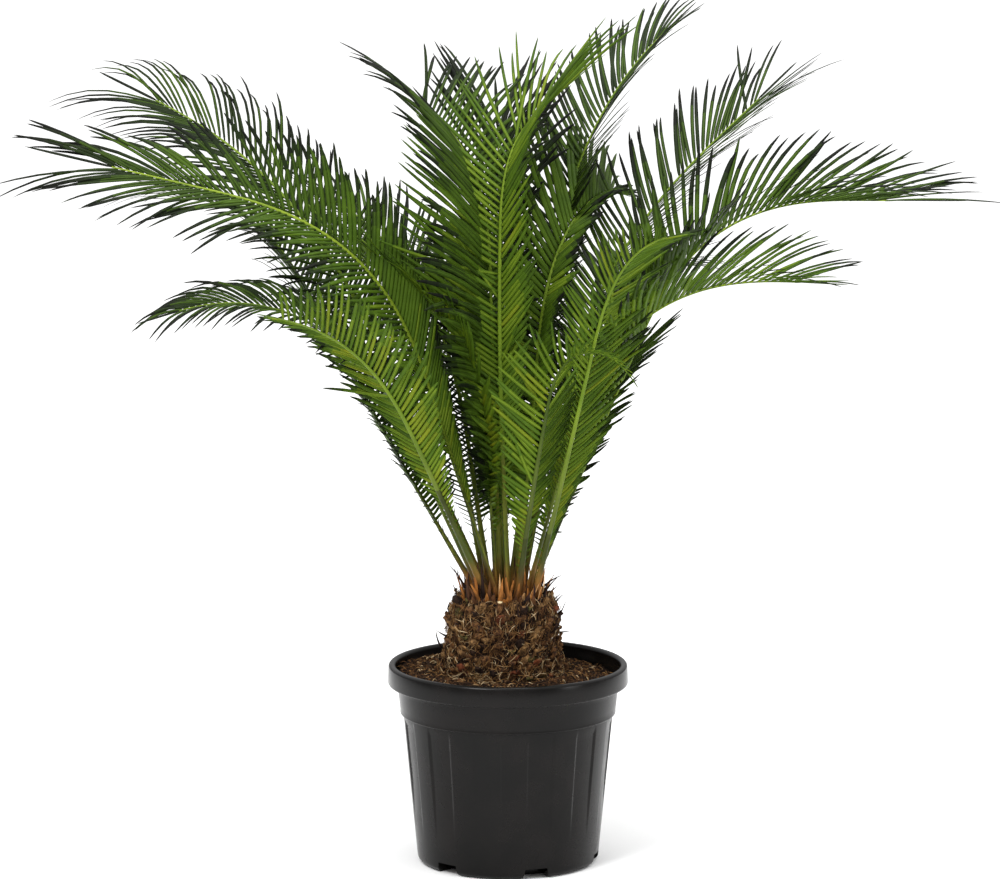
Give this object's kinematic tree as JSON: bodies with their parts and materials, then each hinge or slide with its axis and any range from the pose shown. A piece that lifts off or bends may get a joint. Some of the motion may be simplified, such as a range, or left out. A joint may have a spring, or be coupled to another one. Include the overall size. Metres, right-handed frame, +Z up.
{
  "type": "potted sago palm",
  "caption": "Young sago palm with arching feathery fronds on a short shaggy trunk, in a round black nursery pot.",
  "frame": {"origin": "centre of the pot's flat underside", "axes": "+Z up, -Y towards the palm's front, +X to the right seen from the front"},
  "size_m": [1.2035, 0.8679, 1.0824],
  "materials": {
    "pot_plastic": "injection moulded black polypropylene, satin, with shallow flutes",
    "potting_soil": "dark brown fibrous potting mix with bark crumbs",
    "trunk_bark": "rough overlapping leaf bases, brown with straw coloured fibres",
    "crown_bracts": "dry papery scales, orange brown",
    "frond_green": "waxy leaflets, mid to dark green with yellow green midribs"
  },
  "bodies": {
    "root": {"crown_bracts": "crown_bracts", "frond_back_high": "frond_green", "frond_back_left_high": "frond_green", "frond_back_left_high_end": "frond_green", "frond_back_left_long": "frond_green", "frond_back_left_low": "frond_green", "frond_back_left_low_end": "frond_green", "frond_back_left_mid": "frond_green", "frond_back_left_mid_end": "frond_green", "frond_back_low": "frond_green", "frond_back_low_end": "frond_green", "frond_back_right_high": "frond_green", "frond_back_right_long": "frond_green", "frond_back_right_low": "frond_green", "frond_back_right_low_end": "frond_green", "frond_centre": "frond_green", "frond_centre_end": "frond_green", "frond_front_left": "frond_green", "frond_front_middle": "frond_green", "frond_front_middle_end": "frond_green", "frond_front_right": "frond_green", "frond_front_right_end": "frond_green", "frond_left_inner": "frond_green", "frond_left_inner_end": "frond_green", "frond_left_long": "frond_green", "frond_left_long_end": "frond_green", "frond_left_low": "frond_green", "frond_left_low_end": "frond_green", "frond_rear_left_low": "frond_green", "frond_rear_left_low_end": "frond_green", "frond_rear_right_low": "frond_green", "frond_right_inner": "frond_green", "frond_right_inner_end": "frond_green", "frond_right_long": "frond_green", "frond_right_long_end": "frond_green", "frond_right_low": "frond_green", "frond_right_low_end": "frond_green", "pot": "pot_plastic", "soil": "potting_soil", "trunk": "trunk_bark"}
  },
  "joints": []
}
